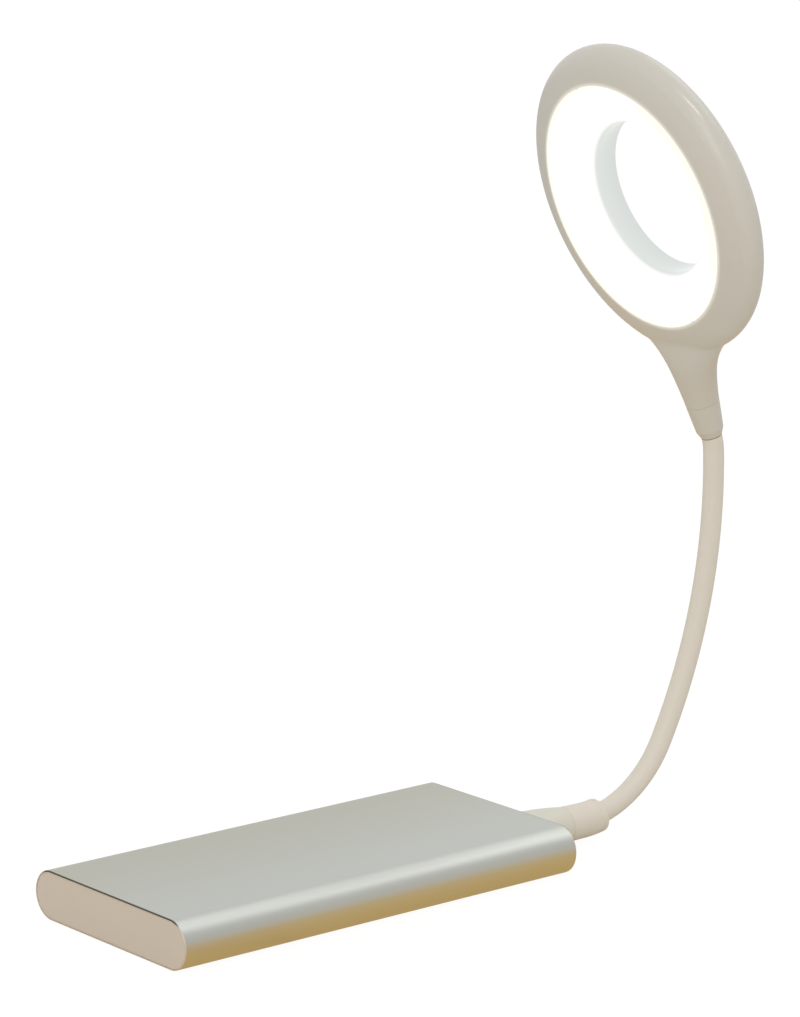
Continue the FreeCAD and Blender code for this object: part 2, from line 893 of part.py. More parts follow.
def placed(shape):
    moved = shape.copy()
    moved.Placement = head_placement()
    return moved


def upper_collar():
    bore = sleeve_r + collar_fit
    low, high = upper_collar_end_d / 2, upper_collar_d / 2
    edge = upper_collar_edge
    profile = polygon([
        Vec(bore, 0, 0), Vec(low - edge, 0, 0), Vec(low, 0, upper_collar_edge_length),
        Vec(high, 0, upper_collar_length - seam_break), Vec(high - seam_break, 0, upper_collar_length),
        Vec(bore, 0, upper_collar_length)])
    return turned(profile, Vec(0, 0, 0), Vec(0, 0, 1))


def upper_anchor():
    base = Vec(0, 0, upper_collar_length + seat_gap)
    return anchor(base, Vec(0, 0, 1), lead_asides())


def crown_radius(deep):
    """Radius of a broad arc of the ring's section, tangent to its tip arc, that rises to deep."""
    wide, tip = ring_face_width, ring_tip_radius
    return (wide ** 2 + deep ** 2 - 2 * wide * tip) / (2 * (deep - tip))


def ring_point(radius, x):
    return Vec(x, 0, ring_centre_z + radius)


def crown_side(inset, deep, side):
    """One side of the ring's section: its broad arc's radius, its centre's X and its join to the tip."""
    crown = crown_radius(deep)
    tip_r = ring_outer_r - ring_tip_radius
    back = crown - deep
    span = math.hypot(tip_r - ring_crown_r, back)
    small = ring_tip_radius - inset
    join = ring_point(tip_r + small * (tip_r - ring_crown_r) / span, side * small * back / span)
    return crown - inset, -side * back, join


def crown_point(large, centre_x, side, turn):
    """Point on a broad arc, turned from the crown towards the tip."""
    return ring_point(ring_crown_r + large * math.sin(turn), centre_x + side * large * math.cos(turn))


def ring_skin(inset, front_r):
    """Edges of the ring's outer section drawn in by inset, from front_r round the tip to the crown."""
    large, centre_x, front_join = crown_side(inset, ring_front_depth, -1)
    first = math.asin((front_r - ring_crown_r) / large)
    last = math.atan2(front_join.z - ring_centre_z - ring_crown_r, centre_x - front_join.x)
    start = crown_point(large, centre_x, -1, first)
    front_mid = crown_point(large, centre_x, -1, (first + last) / 2)
    large, centre_x, rear_join = crown_side(inset, ring_rear_depth, 1)
    last = math.atan2(rear_join.z - ring_centre_z - ring_crown_r, rear_join.x - centre_x)
    rear_mid = crown_point(large, centre_x, 1, last / 2)
    end = crown_point(large, centre_x, 1, 0)
    return [
        arc(start, front_mid, front_join),
        arc(front_join, ring_point(ring_outer_r - inset, 0), rear_join),
        arc(rear_join, rear_mid, end),
    ], start, end


def ring_turned(edges):
    return turned(edges, ring_point(0, 0), Vec(1, 0, 0))


def stalk_loft(inset):
    """Flare from the collar's seam into the ring, drawn in by inset."""
    sections = []
    for along, wide, deep in zip(stalk_along_shares, stalk_width_shares, stalk_depth_shares):
        z = upper_collar_length + along * stalk_reach
        width = upper_collar_d + wide * (2 * stalk_root_r - upper_collar_d)
        depth = upper_collar_d + deep * (stalk_root_depth - upper_collar_d)
        half_y, half_x = width / 2 - inset, depth / 2 - inset
        oval = Part.Ellipse(Vec(0, half_y, z), Vec(half_x, 0, z), Vec(0, 0, z))
        if half_y <= half_x:
            oval = Part.Circle(Vec(0, 0, z), Vec(0, 0, 1), half_x)
        sections.append(Part.Wire(oval.toShape()))
    return Part.makeLoft(sections, True)


def head_shell():
    rear_r = skirt_r + lens_fit
    mouth_r = lens_r + lens_fit
    skin, start, end = ring_skin(0, mouth_r)
    outer = ring_turned(skin + [
        line(end, ring_point(rear_r, end.x)),
        line(ring_point(rear_r, end.x), ring_point(rear_r, start.x)),
        line(ring_point(rear_r, start.x), start)])
    skin, start, end = ring_skin(ring_wall, mouth_r)
    low_r = rear_r - overrun
    ahead = -ring_front_depth - overrun
    cavity = ring_turned(skin + [
        line(end, ring_point(low_r, end.x)),
        line(ring_point(low_r, end.x), ring_point(low_r, ahead)),
        line(ring_point(low_r, ahead), ring_point(mouth_r, ahead)),
        line(ring_point(mouth_r, ahead), start)])
    body = outer.fuse(stalk_loft(0))
    low, high = upper_collar_length + stalk_reach / 2, ring_centre_z - ring_crown_r
    root = [e for e in body.Edges if e.BoundBox.ZMin > low and e.BoundBox.ZMax < high]
    shell = body.makeFillet(stalk_blend, root).cut(cavity).cut(stalk_loft(stalk_wall))
    pocket = rod(Vec(0, 0, upper_collar_length - overrun), Vec(0, 0, 1), 2 * anchor_r + 2 * seat_gap,
                 anchor_length + overrun + 2 * seat_gap)
    shell = shell.cut(pocket)
    for place in ring_screw_places():
        shell = shell.fuse(rod(place + Vec(light_board_rear(), 0, 0), Vec(1, 0, 0), ring_boss_d,
                               light_board_stand + ring_wall / 2))
    for place in ring_screw_places():
        shell = shell.cut(rod(place + Vec(light_board_rear() - overrun, 0, 0), Vec(1, 0, 0),
                              ring_screw_shank_d + 2 * wire_gap, light_board_stand + overrun))
    return shell.removeSplitter()


def lens_front():
    """X of the lens rim's front edge."""
    return lens_rim_back - ring_front_depth


def diffuser_ring():
    """Dished opal lens with a flange at its rim and a skirt that lines the hole."""
    front = lens_front()
    inner = front + lens_dish
    rear = ring_rear_depth - hole_rear_lip
    slope = lens_thickness * (lens_dish / (lens_r - hole_r))
    edge = lens_edge_radius
    profile = polygon([
        ring_point(lens_r, front), ring_point(hole_r + edge, inner - edge), ring_point(hole_r, inner + edge),
        ring_point(hole_r, rear), ring_point(skirt_r, rear), ring_point(skirt_r, inner + lens_thickness),
        ring_point(lens_r - lens_thickness, front + lens_thickness + slope),
        ring_point(lens_r - lens_thickness, front + lens_flange),
        ring_point(lens_r, front + lens_flange)])
    return ring_turned(profile)


def light_board_rear():
    return ring_rear_depth - ring_wall - light_board_stand


def light_board_front():
    return light_board_rear() - light_board_thickness


def spoke(angle):
    """Point on the middle circle of the light board, at the ring's middle plane; 0 is straight up."""
    turn = math.radians(angle)
    return ring_point(light_circle_r * math.cos(turn), 0) + Vec(0, light_circle_r * math.sin(turn), 0)


def ring_screw_places():
    return [spoke(ring_screw_angle + n * 360 / ring_screw_count) for n in range(ring_screw_count)]


def light_board():
    board = rod(Vec(light_board_front(), 0, ring_centre_z), Vec(1, 0, 0),
                2 * light_board_outer_r, light_board_thickness)
    board = board.cut(rod(Vec(light_board_front() - overrun, 0, ring_centre_z), Vec(1, 0, 0),
                          2 * light_board_inner_r, light_board_thickness + 2 * overrun))
    for place in ring_screw_places():
        board = board.cut(rod(place + Vec(light_board_front() - overrun, 0, 0), Vec(1, 0, 0),
                              ring_screw_shank_d + 2 * wire_gap, light_board_thickness + 2 * overrun))
    return board


def chips_on_board(count, start, length, width, height):
    chips = []
    front = light_board_front()
    for n in range(count):
        angle = start + n * 360 / count
        chip = slab(front - height, front, -length / 2, length / 2, -width / 2, width / 2)
        chip.Placement = FreeCAD.Placement(spoke(angle), FreeCAD.Rotation(Vec(-1, 0, 0), angle))
        chips.append(chip)
    return Part.makeCompound(chips)


def light_chips():
    return chips_on_board(light_chip_count, 0, light_chip_length, light_chip_width, light_chip_height)


def light_resistors():
    return chips_on_board(resistor_count, resistor_angle, resistor_length, resistor_width, resistor_height)


def light_board_screws():
    screws = []
    for place in ring_screw_places():
        head = rod(place + Vec(light_board_front() - ring_screw_head_height, 0, 0), Vec(1, 0, 0),
                   ring_screw_head_d, ring_screw_head_height)
        shank = rod(place + Vec(light_board_front(), 0, 0), Vec(1, 0, 0), ring_screw_shank_d,
                    light_board_thickness + light_board_stand - wire_gap)
        screws.append(head.fuse(shank))
    return Part.makeCompound(screws)


def head_leads():
    """Two leads up the stalk that step back on to the edge of the light board."""
    start_z = upper_collar_length - seat_gap
    shift = light_board_front() + light_board_thickness / 2
    turn = math.acos(1 - shift / (2 * lead_bend_radius))
    rise = lead_bend_radius * math.sin(turn)
    end_z = ring_centre_z - light_board_outer_r - wire_gap
    bend_z = end_z - 2 * rise - 2 * lead_d
    half_x = lead_bend_radius * (1 - math.cos(turn / 2))
    half_z = lead_bend_radius * math.sin(turn / 2)
    leads = []
    for aside in lead_asides():
        drop = light_board_outer_r - math.sqrt(light_board_outer_r ** 2 - lead_offset ** 2)
        a = Vec(0, 0, start_z)
        b = Vec(0, 0, bend_z)
        c = Vec(shift / 2, 0, bend_z + rise)
        d = Vec(shift, 0, bend_z + 2 * rise)
        e = Vec(shift, 0, end_z + drop)
        path = Part.Wire([
            line(a, b),
            arc(b, b + Vec(half_x, 0, half_z), c),
            arc(c, d - Vec(half_x, 0, half_z), d),
            line(d, e)])
        ring = Part.Circle(a, Vec(0, 0, 1), lead_r).toShape()
        lead = path.makePipeShell([Part.Wire(ring)], True, False)
        lead.translate(aside)
        leads.append(lead)
    return Part.makeCompound(leads)


# Every node, by name

def nodes():
    made = {
        "pack_shell": pack_shell(),
        "blank_end_cap": plain_cap(-1),
        "port_end_cap": port_end_cap(),
        "cell_tray": cell_tray(),
        "lower_cell": pouch_cell(cell_bottoms()[0]),
        "upper_cell": pouch_cell(cell_bottoms()[1]),
        "cell_foam": cell_foam(),
        "cell_tabs": cell_tabs(),
        "power_board": power_board(),
        "board_components": board_components(),
        "board_screws": board_screws(),
        "charge_socket_shell": charge_socket_shell(),
        "charge_socket_tongue": charge_socket_tongue(),
        "button_switch": button_switch(),
        "switch_stem": switch_stem(),
        "pack_button": pack_button(),
        "charge_lights": charge_lights(),
        "light_guides": light_guides(),
        "plug_shell": plug_shell(),
        "plug_tongue": plug_tongue(),
        "plug_contacts": plug_contacts(),
        "plug_housing_upper": housing_half(1),
        "plug_housing_lower": housing_half(-1),
        "plug_board": plug_board(),
        "plug_leads": plug_leads(),
        "lower_anchor": lower_anchor(),
        "lower_collar": lower_collar(),
        "neck_sleeve": neck_sleeve(),
        "neck_wires": neck_wires(),
    }
    for name, y in (("near", -socket_offset), ("far", socket_offset)):
        made["output_socket_shell_" + name] = output_socket_shell(y)
        made["output_socket_tongue_" + name] = output_socket_tongue(y)
        made["output_socket_contacts_" + name] = output_socket_contacts(y)
    for n in range(neck_joints + 1):
        made["neck_core_%d" % n] = neck_core(n)
    head = {
        "upper_collar": upper_collar(),
        "upper_anchor": upper_anchor(),
        "head_shell": head_shell(),
        "diffuser_ring": diffuser_ring(),
        "light_board": light_board(),
        "light_chips": light_chips(),
        "light_resistors": light_resistors(),
        "light_board_screws": light_board_screws(),
        "head_leads": head_leads(),
    }
    for name, shape in head.items():
        made[name] = placed(shape)
    return made


def main():
    os.makedirs("parts", exist_ok=True)
    for name, shape in nodes().items():
        shape.exportStep("parts/%s.step" % name)
        print(name, len(shape.Solids), round(shape.Volume, 2), shape.isValid())


if __name__ == "__main__":
    main()
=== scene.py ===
import json
import math

import bpy
from mathutils import Matrix, Vector

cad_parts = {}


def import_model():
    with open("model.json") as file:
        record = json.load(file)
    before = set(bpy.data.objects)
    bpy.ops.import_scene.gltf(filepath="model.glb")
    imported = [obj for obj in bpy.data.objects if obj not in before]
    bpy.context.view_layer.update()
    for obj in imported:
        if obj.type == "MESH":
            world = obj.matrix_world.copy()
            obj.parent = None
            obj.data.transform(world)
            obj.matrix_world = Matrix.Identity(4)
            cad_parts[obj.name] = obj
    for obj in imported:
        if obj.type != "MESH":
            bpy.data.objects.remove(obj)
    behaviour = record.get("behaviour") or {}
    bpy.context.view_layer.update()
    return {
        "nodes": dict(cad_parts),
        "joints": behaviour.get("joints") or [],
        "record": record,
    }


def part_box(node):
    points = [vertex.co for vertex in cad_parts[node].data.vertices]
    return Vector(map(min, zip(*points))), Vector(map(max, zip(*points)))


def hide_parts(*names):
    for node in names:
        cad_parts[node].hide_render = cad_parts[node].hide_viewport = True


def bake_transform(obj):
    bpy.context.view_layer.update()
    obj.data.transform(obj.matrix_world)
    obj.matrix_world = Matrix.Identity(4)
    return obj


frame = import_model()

# A lit ring lamp on a bendable neck, plugged into the slim battery pack that carries it.
# Everything is in metres, in the frame of the solids.

MM = 0.001

# Camera, at the photograph's viewing angle
CAMERA_AZIMUTH = math.radians(-39.477)
CAMERA_ELEVATION = math.radians(12.061)
CAMERA_DISTANCE = 1.24581
CAMERA_TARGET = Vector((0.06441, 0.03611, 0.10340))
CAMERA_LENS = 142.34
CAMERA_SENSOR = 36.0

# Neck line, as the solids have it: each bend is its radius and the heading it reaches, in degrees
NECK_STRAIGHT = 7.6 * MM
NECK_BENDS = ((38.0 * MM, 61.5), (175.0 * MM, 92.4))
NECK_TOP_RADIUS = 18.3 * MM
LOWER_COLLAR_LENGTH = 15.0 * MM
UPPER_COLLAR_LENGTH = 11.2 * MM
HEAD_PITCH = math.radians(18.06)
HEAD_TURN = math.radians(4.77)
HEAD_ROLL = math.radians(3.37)

# Neck pieces
SLEEVE_RADIUS = 3.3 * MM
SLEEVE_WALL = 0.8 * MM
SLEEVE_SIDES = 64
SLEEVE_SHARP = math.radians(50)
LEAD_RADIUS = 0.45 * MM
LEAD_OFFSET = 1.95 * MM
LEAD_SIDES = 12
NECK_STEP = 0.5 * MM

# Ring, as the solids have it
RING = next(m for m in frame["record"]["mounts"] if m["name"] == "hanging_ring")
RING_MIDDLE = Vector(RING["pos_m"])
RING_AXIS = Vector(RING["axis"])
RING_RADIUS = 50.6 * MM
LENS_RADIUS = 39.7 * MM
HOLE_RADIUS = 24.9 * MM

# Shared by several finishes: slow drift of a colour in lumps per metre, and the colour of painted shadow
# lines at joints
DRIFT = 18.0
PAINTED_SHADOW_LINE = (0.10, 0.085, 0.06, 1.0)

# Floor: half its width, how far it lies under the pack, and where its warm reflection fades out
FLOOR_HALF = 12.0
FLOOR_DROP = 0.02 * MM
WARM_REACH = {"From Min": 0.35, "From Max": 0.6}

# Light from all round: how its strength goes with the direction's Y, and with its Z; the two multiply
WORLD_COLOUR = (0.98, 1.0, 0.99, 1.0)
WORLD_SHARES = (
    ("Y", {"From Min": -0.6, "From Max": 0.5, "To Min": 0.64, "To Max": 0.84}),
    ("Z", {"From Min": 0.4, "From Max": 0.9, "To Min": 1.0, "To Max": 0.8}),
)


# Shader writing

class Value:
    """One output socket of a finish; + - * between values and numbers add Math nodes."""

    def __init__(self, finish, socket):
        self.finish = finish
        self.socket = socket

    def maths(self, operation, *others):
        return self.finish.node("ShaderNodeMath", {"operation": operation}, [self, *others])

    def __add__(self, other):
        return self.maths("ADD", other)

    __radd__ = __add__

    def __rsub__(self, other):
        return self.finish.node("ShaderNodeMath", {"operation": "SUBTRACT"}, [other, self])

    def __mul__(self, other):
        return self.maths("MULTIPLY", other)

    __rmul__ = __mul__


class Finish:
    """A material with one Principled shader, and the few patterns that the finishes share."""

    def __init__(self, name):
        self.material = bpy.data.materials.new(name)
        self.material.use_nodes = True
        self.tree = self.material.node_tree
        self.tree.nodes.clear()
        self.shader = self.tree.nodes.new("ShaderNodeBsdfPrincipled")
        output = self.tree.nodes.new("ShaderNodeOutputMaterial")
        self.tree.links.new(self.shader.outputs[0], output.inputs["Surface"])
        self.place = self.node("ShaderNodeTexCoord", {}, {}, "Object")

    def put(self, socket, value):
        if isinstance(value, Value):
            self.tree.links.new(value.socket, socket)
        else:
            socket.default_value = value

    def node(self, kind, settings, inputs, output=0):
        made = self.tree.nodes.new(kind)
        for key, value in settings.items():
            setattr(made, key, value)
        pairs = inputs.items() if isinstance(inputs, dict) else enumerate(inputs)
        for key, value in pairs:
            self.put(made.inputs[key], value)
        return Value(self, made.outputs[output])

    def surface(self, **sockets):
        """Sets the shader's sockets; a name's underscores stand for spaces."""
        for name, value in sockets.items():
            self.put(self.shader.inputs[name.replace("_", " ")], value)
        return self.material

    def axis(self, name):
        return self.node("ShaderNodeSeparateXYZ", {}, [self.place], name)

    def vector(self, operation, *inputs):
        """A vector, or a number from the two operations that give one."""
        output = "Value" if operation in ("DOT_PRODUCT", "LENGTH") else "Vector"
        return self.node("ShaderNodeVectorMath", {"operation": operation}, inputs, output)

    def noise(self, scale, detail=2.0, stretch=(1, 1, 1)):
        """Grey noise whose scale is in lumps per metre."""
        spot = self.node("ShaderNodeMapping", {}, {"Vector": self.place, "Scale": stretch})
        return self.node("ShaderNodeTexNoise", {}, {"Vector": spot, "Scale": scale, "Detail": detail})

    def mix(self, factor, a, b):
        """Colour a where factor is 0, and b where it is 1."""
        return self.node("ShaderNodeMix", {"data_type": "RGBA"}, {0: factor, 6: a, 7: b}, 2)

    def step(self, value, low, high):
        """0 below low, 1 above high, smooth in between."""
        return self.node("ShaderNodeMapRange", {"interpolation_type": "SMOOTHSTEP"},
                         {"Value": value, "From Min": low, "From Max": high})

    def bump(self, height, depth):
        """Normal of a relief that is depth metres high."""
        return self.node("ShaderNodeBump", {}, {"Strength": 1.0, "Distance": depth, "Height": height})


def shade(colour, factor):
    """A colour made lighter or darker by a factor."""
    return tuple(min(c * factor, 1.0) for c in colour) + (1.0,)


def about(middle, width, pattern):
    """Goes across a width about a middle value as the pattern goes from 0 to 1."""
    return middle - width / 2 + width * pattern


# Neck line

class Run:
    """A straight run, or an arc that turns from along to towards."""

    def __init__(self, start, along, towards, radius, length):
        self.start = start
        self.along = along
        self.towards = towards
        self.radius = radius
        self.length = length

    def point(self, s):
        if self.radius is None:
            return self.start + self.along * s
        turn = s / self.radius
        return (self.start + self.along * (self.radius * math.sin(turn))
                + self.towards * (self.radius * (1 - math.cos(turn))))

    def heading(self, s):
        if self.radius is None:
            return self.along
        turn = s / self.radius
        return self.along * math.cos(turn) + self.towards * math.sin(turn)


def stalk_direction():
    """Up the head's stalk: the head's pitch, turn and roll, applied to straight up."""
    turned = (Matrix.Rotation(-HEAD_PITCH, 3, "Y") @ Matrix.Rotation(-HEAD_TURN, 3, "Z")
              @ Matrix.Rotation(-HEAD_ROLL, 3, "X"))
    return turned @ Vector((0, 0, 1))


def neck_runs():
    """The neck's line from its lower end to its upper end, straight at both ends."""
    plug = next(j for j in frame["joints"] if j["name"] == "lamp_unplug")
    start = Vector((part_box("neck_sleeve")[0].x, plug["pos_m"][1], plug["pos_m"][2]))
    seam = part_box("lower_collar")[0].x
    runs = [Run(start, Vector((1, 0, 0)), None, None, seam + NECK_STRAIGHT - start.x)]
    heading = 0.0
    for radius, reach in NECK_BENDS:
        last = runs[-1]
        along = Vector((math.cos(math.radians(heading)), 0, math.sin(math.radians(heading))))
        towards = Vector((-along.z, 0, along.x))
        length = radius * math.radians(reach - heading)
        runs.append(Run(last.point(last.length), along, towards, radius, length))
        heading = reach
    last = runs[-1]
    along = last.heading(last.length)
    stalk = stalk_direction()
    angle = along.angle(stalk)
    towards = (stalk - along * math.cos(angle)) / math.sin(angle)
    runs.append(Run(last.point(last.length), along, towards, NECK_TOP_RADIUS, NECK_TOP_RADIUS * angle))
    last = runs[-1]
    runs.append(Run(last.point(last.length), stalk, None, None, UPPER_COLLAR_LENGTH))
    return runs


RUNS = neck_runs()
NECK_LENGTH = sum(run.length for run in RUNS)
MOUTH_TOP = NECK_LENGTH - RUNS[-1].length
MOUTH_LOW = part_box("lower_collar")[0].x - RUNS[0].start.x + LOWER_COLLAR_LENGTH


def neck_point(s):
    for run in RUNS[:-1]:
        if s < run.length:
            return run.point(s)
        s -= run.length
    return RUNS[-1].point(s)


# Finishes, one for each of the record's material slots

def grained_plastic(name, colour, roughness, grain, depth, vary=0.03, **more):
    """Moulded plastic with a fine even grain and a faint drift in its colour."""
    finish = Finish(name)
    fine = finish.noise(grain)
    tint = finish.mix(finish.noise(DRIFT), shade(colour, 1 - vary), shade(colour, 1 + vary))
    return finish.surface(Base_Color=tint, Roughness=about(roughness, 0.08, fine),
                          Normal=finish.bump(fine, depth), **more)


def plain_metal(name, colour, roughness, grain=900.0, stretch=(1, 1, 1)):
    """Sheet or wire metal with a drawn grain."""
    finish = Finish(name)
    lines = finish.noise(grain, 3.0, stretch)
    tint = finish.mix(lines, shade(colour, 0.92), shade(colour, 1.05))
    return finish.surface(Base_Color=tint, Metallic=1.0, Roughness=about(roughness, 0.12, lines))


def shell_aluminium():
    """Bead-blasted, anodised tube, with painted shade that makes it darker and warmer towards the far side;
    the cut edges of its two mouths are pale, with a painted shadow that darkens them along the top.
    """
    near_side = (0.625, 0.63, 0.60, 1.0)
    far_side = (0.57, 0.555, 0.485, 1.0)
    pale_cloud = (0.9, 0.88, 0.82, 1.0)
    pale_edge = (0.69, 0.62, 0.54, 1.0)
    finish = Finish("shell_aluminium")
    low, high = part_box("pack_shell")
    beads = finish.noise(5200.0)
    cut = finish.step(finish.axis("X").maths("ABSOLUTE"), high.x - 0.4 * MM, high.x - 0.25 * MM)
    top = finish.step(finish.axis("Z"), high.z - 1.6 * MM, high.z - 0.5 * MM)
    # painted shade: the tube is lighter and cooler towards its near side, and darker and warmer towards its
    # far side
    tint = finish.mix(finish.step(finish.axis("Y"), low.y, high.y), near_side, far_side)
    tint = finish.mix(0.06 * finish.noise(14.0), tint, pale_cloud)
    # painted shadow: the pale cut edge turns dark along the top of the tube
    tint = finish.mix(cut, tint, finish.mix(top, pale_edge, PAINTED_SHADOW_LINE))
    return finish.surface(Base_Color=tint, Metallic=1.0 - 0.6 * cut, Roughness=about(0.44, 0.06, beads),
                          Normal=finish.bump(beads, 0.004 * MM))


def neck_skin():
    """Soft satin skin, with a painted shadow line where it enters the upper collar."""
    colour = (0.81, 0.735, 0.64)
    mouth = RUNS[-1]
    finish = Finish("neck_skin")
    fine = finish.noise(2200.0)
    spot = finish.vector("SUBTRACT", finish.place, mouth.start)
    inside = finish.step(finish.vector("DOT_PRODUCT", spot, mouth.along), -0.45 * MM, -0.2 * MM)
    away = finish.step(finish.vector("LENGTH", spot), 6.0 * MM, 8.0 * MM)
    tint = finish.mix(finish.noise(DRIFT), shade(colour, 0.98), shade(colour, 1.02))
    # painted shadow: a dark ring on the skin just inside the upper collar's mouth
    tint = finish.mix(0.75 * (inside * (1.0 - away)), tint, PAINTED_SHADOW_LINE)
    return finish.surface(Base_Color=tint, Roughness=about(0.46, 0.08, fine), Specular_IOR_Level=0.32,
                          Normal=finish.bump(fine, 0.008 * MM))


def ring_place(finish):
    """How far ahead of the ring's middle a point is, and how far out from the ring's axis."""
    spot = finish.vector("SUBTRACT", finish.place, RING_MIDDLE)
    ahead = finish.vector("DOT_PRODUCT", spot, RING_AXIS)
    return ahead, finish.vector("LENGTH", finish.vector("CROSS_PRODUCT", spot, RING_AXIS))


def ring_aside(finish):
    """How far a point is from the ring's middle towards one side, and a little up."""
    sideways = 0.95
    upward = 0.31
    level = Vector((0, 0, 1)).cross(RING_AXIS).normalized()
    aside = sideways * level + upward * RING_AXIS.cross(level)
    spot = finish.vector("SUBTRACT", finish.place, RING_MIDDLE)
    return finish.vector("DOT_PRODUCT", spot, aside)


def lamp_plastic():
    """Satin warm white, with painted shade that makes the stalk warmer and darker; a painted glow on the
    lip beside the lens stands in for the lens's light.
    """
    ring = (0.725, 0.68, 0.61, 1.0)
    stalk = (0.69, 0.63, 0.545, 1.0)
    painted_glow = (0.28, 0.275, 0.235, 1.0)
    black = (0.0, 0.0, 0.0, 1.0)
    finish = Finish("lamp_plastic")
    fine = finish.noise(1500.0)
    ahead, out = ring_place(finish)
    front = finish.step(ahead, 3.0 * MM, 5.0 * MM)
    beyond = finish.step(out, LENS_RADIUS, LENS_RADIUS + 1.6 * MM)
    # painted shade: the stalk is warmer and darker than the ring, for the warm bounce light in its shade
    tint = finish.mix(finish.step(out, RING_RADIUS - 1.0 * MM, RING_RADIUS + 8.0 * MM), ring, stalk)
    tint = finish.mix(0.03 * finish.noise(DRIFT), tint, black)
    # painted glow: the lip beside the lens emits light, standing in for the lens's light on it
    lip = finish.mix(front * (1.0 - beyond), black, painted_glow)
    return finish.surface(Base_Color=tint, Roughness=about(0.38, 0.08, fine), Specular_IOR_Level=0.22,
                          Coat_Weight=0.3, Coat_Roughness=0.14, Emission_Color=lip,
                          Emission_Strength=1.0, Normal=finish.bump(fine, 0.004 * MM))


def opal_diffuser():
    """Opal plastic: the dished face glows, creamier at one side; the wall of the hole passes less light."""
    wall_rear = (0.62, 0.66, 0.645, 1.0)
    wall_front = (0.67, 0.70, 0.675, 1.0)
    brink = (0.68, 0.71, 0.705, 1.0)
    face_edge = (0.86, 0.87, 0.83, 1.0)
    white = (1.0, 0.995, 0.98, 1.0)
    cream = (0.95, 0.94, 0.765, 1.0)
    rim = (0.97, 0.95, 0.88, 1.0)
    finish = Finish("opal_diffuser")
    ahead, out = ring_place(finish)
    wall = finish.mix(finish.step(ahead, -8.5 * MM, -1.5 * MM), wall_rear, wall_front)
    wall = finish.mix(finish.step(out, HOLE_RADIUS, HOLE_RADIUS + 0.15 * MM), wall, brink)
    face = finish.mix(finish.step(ring_aside(finish), 16.0 * MM, 27.0 * MM), white, cream)
    face = finish.mix(finish.step(out, LENS_RADIUS - 2.6 * MM, LENS_RADIUS), face, rim)
    face = finish.mix(finish.step(out, HOLE_RADIUS + 0.9 * MM, HOLE_RADIUS + 1.2 * MM), face_edge, face)
    glow = finish.mix(finish.step(out, HOLE_RADIUS + 0.35 * MM, HOLE_RADIUS + 0.65 * MM), wall, face)
    return finish.surface(Base_Color=(0.07, 0.07, 0.07, 1.0), Specular_IOR_Level=0.15,
                          Roughness=about(0.37, 0.06, finish.noise(2600.0)),
                          Emission_Color=glow, Emission_Strength=1.0)


# Each plastic's colour, roughness, grain in lumps per metre and depth of the grain
PLASTICS = {
    "cap_plastic": ((0.72, 0.62, 0.525), 0.55, 3200.0, 0.012 * MM),
    "inner_plastic": ((0.02, 0.02, 0.02), 0.5, 2600.0, 0.01 * MM),
    "pad_foam": ((0.02, 0.02, 0.022), 0.9, 1500.0, 0.1 * MM),
    "board_resin": ((0.01, 0.10, 0.045), 0.3, 1800.0, 0.006 * MM),
    "component_dark": ((0.025, 0.025, 0.027), 0.45, 2600.0, 0.01 * MM),
    "socket_plastic": ((0.72, 0.72, 0.69), 0.45, 2600.0, 0.008 * MM),
    "charge_light_lens": ((0.75, 0.76, 0.74), 0.18, 1800.0, 0.002 * MM),
    "lead_cover": ((0.35, 0.012, 0.01), 0.35, 1800.0, 0.004 * MM),
    "light_board_white": ((0.78, 0.78, 0.76), 0.32, 1800.0, 0.004 * MM),
    "light_chip_phosphor": ((0.86, 0.58, 0.09), 0.5, 2600.0, 0.006 * MM),
}

# Each metal's colour and roughness; some have a grain of their own, in lumps per metre, and its stretch
METALS = {
    "cell_foil": ((0.55, 0.56, 0.58), 0.42, 240.0),
    "tab_nickel": ((0.66, 0.62, 0.55), 0.3, 700.0, (0.1, 1, 1)),
    "screw_steel": ((0.58, 0.57, 0.55), 0.32),
    "socket_steel": ((0.66, 0.66, 0.66), 0.24, 1300.0, (0.08, 1, 1)),
    "contact_gold": ((0.85, 0.62, 0.26), 0.22, 1300.0, (0.08, 1, 1)),
    "core_wire": ((0.42, 0.41, 0.40), 0.38),
}

FINISHES = {
    "shell_aluminium": shell_aluminium(),
    "lamp_plastic": lamp_plastic(),
    "plug_plastic": grained_plastic("plug_plastic", (0.765, 0.73, 0.63), 0.42, 1800.0, 0.006 * MM,
                                    vary=0.02, Specular_IOR_Level=0.32),
    "neck_skin": neck_skin(),
    "opal_diffuser": opal_diffuser(),
}
for slot, look in PLASTICS.items():
    FINISHES[slot] = grained_plastic(slot, *look)
for slot, look in METALS.items():
    FINISHES[slot] = plain_metal(slot, *look)

for part in frame["record"]["subparts"]:
    solid = frame["nodes"][part["node"]]
    solid.data.materials.clear()
    solid.data.materials.append(FINISHES[part["material_slot"]])


# Neck pieces

def placed(name, data):
    """A new object in the scene."""
    made = bpy.data.objects.new(name, data)
    bpy.context.scene.collection.objects.link(made)
    return made


def modified_mesh(made):
    """A plain mesh of an object as its modifiers leave it."""
    seen = made.evaluated_get(bpy.context.evaluated_depsgraph_get())
    return bpy.data.meshes.new_from_object(seen)


def neck_curve(start, end, asides):
    """One poly spline along a stretch of the neck's line for each sideways offset."""
    data = bpy.data.curves.new("neck_line", "CURVE")
    data.dimensions = "3D"
    steps = math.ceil((end - start) / NECK_STEP)
    for aside in asides:
        spline = data.splines.new("POLY")
        spline.points.add(steps)
        for n, point in enumerate(spline.points):
            spot = neck_point(start + (end - start) * n / steps) + Vector((0, aside, 0))
            point.co = (*spot, 1.0)
    return placed("neck_line", data)


